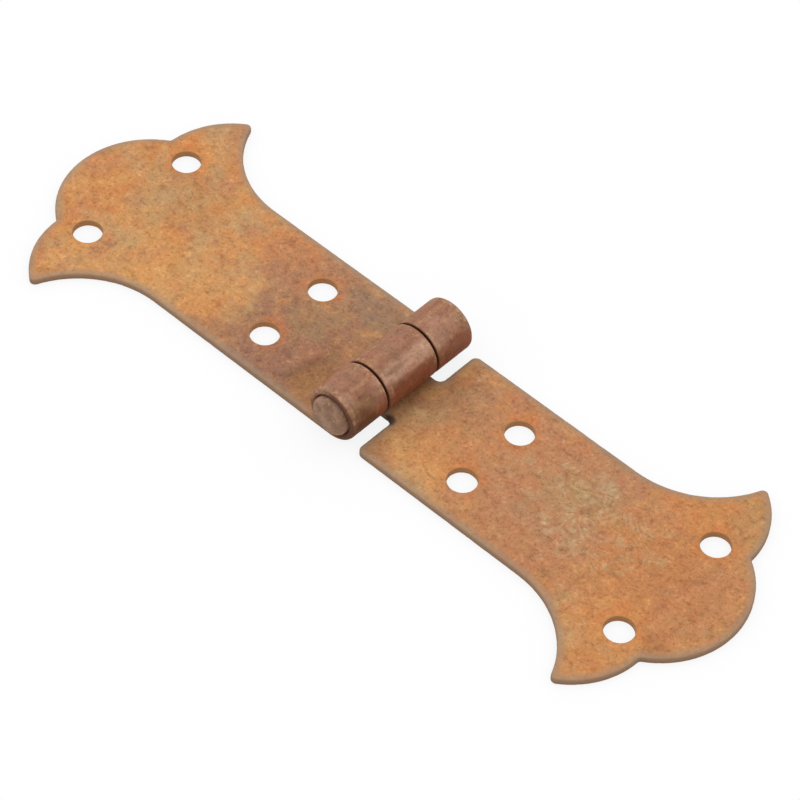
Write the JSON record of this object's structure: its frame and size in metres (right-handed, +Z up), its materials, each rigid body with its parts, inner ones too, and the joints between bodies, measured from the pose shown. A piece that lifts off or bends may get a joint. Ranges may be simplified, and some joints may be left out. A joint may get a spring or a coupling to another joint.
{
  "type": "decorative cabinet hinge",
  "caption": "Flat strap cabinet hinge with flared fish-tail leaves, rolled knuckles on a plain pin, and round screw holes.",
  "frame": {"origin": "on the plane of the leaves' undersides, below the middle of the pin's axis", "axes": "+X out along the one-knuckle leaf, +Y along the pin, +Z up out of the face side that carries the barrel"},
  "size_m": [0.1206, 0.0432, 0.0083],
  "materials": {
    "leaf_steel": "matte, evenly rusted",
    "pin_steel": "matte, rusted grey brown"
  },
  "bodies": {
    "fixed_leaf": {"two_knuckle_leaf": "leaf_steel", "hinge_pin": "pin_steel"},
    "swinging_leaf": {"one_knuckle_leaf": "leaf_steel"}
  },
  "joints": [
    {"name": "leaf_swing", "type": "hinge", "parent": "fixed_leaf", "child": "swinging_leaf", "pos_m": [0, 0, 0.00415], "axis": [0, -1, 0], "range_deg": [-94, 185]}
  ]
}
